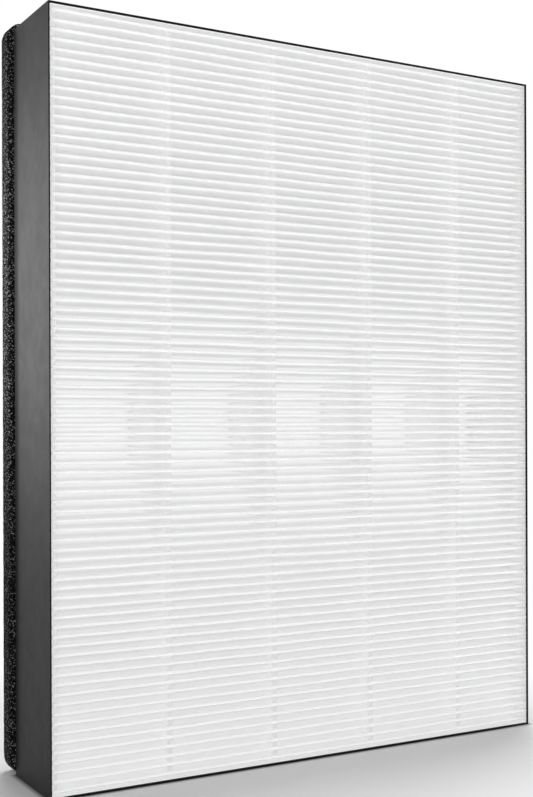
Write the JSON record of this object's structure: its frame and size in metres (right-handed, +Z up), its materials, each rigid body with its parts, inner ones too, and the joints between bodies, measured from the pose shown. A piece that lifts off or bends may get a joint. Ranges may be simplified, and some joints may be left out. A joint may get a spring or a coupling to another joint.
{
  "type": "pleated air filter cassette",
  "caption": "Pleated white filter pack in thin dark edge strips, with a black foam seal round the back.",
  "frame": {"origin": "middle of the footprint, on the surface the cassette stands on", "axes": "+Z up, X across the white face, +Y from the white face to the foam seal"},
  "size_m": [0.288, 0.0604, 0.364],
  "materials": {
    "media": "matt white non-woven",
    "glue": "translucent white hot-melt",
    "strip": "satin dark grey",
    "tape": "matt black",
    "foam": "matt black open-cell foam"
  },
  "bodies": {
    "root": {"pleated_media": "media", "front_bead_1": "glue", "front_bead_2": "glue", "front_bead_3": "glue", "front_bead_4": "glue", "front_bead_5": "glue", "front_bead_6": "glue", "back_bead_1": "glue", "back_bead_2": "glue", "back_bead_3": "glue", "back_bead_4": "glue", "back_bead_5": "glue", "back_bead_6": "glue", "left_side_glue": "glue", "right_side_glue": "glue", "bottom_flap_glue": "glue", "top_flap_glue": "glue", "left_edge_strip": "strip", "right_edge_strip": "strip", "bottom_edge_strip": "strip", "top_edge_strip": "strip", "seal_tape": "tape", "foam_seal": "foam"}
  },
  "joints": []
}
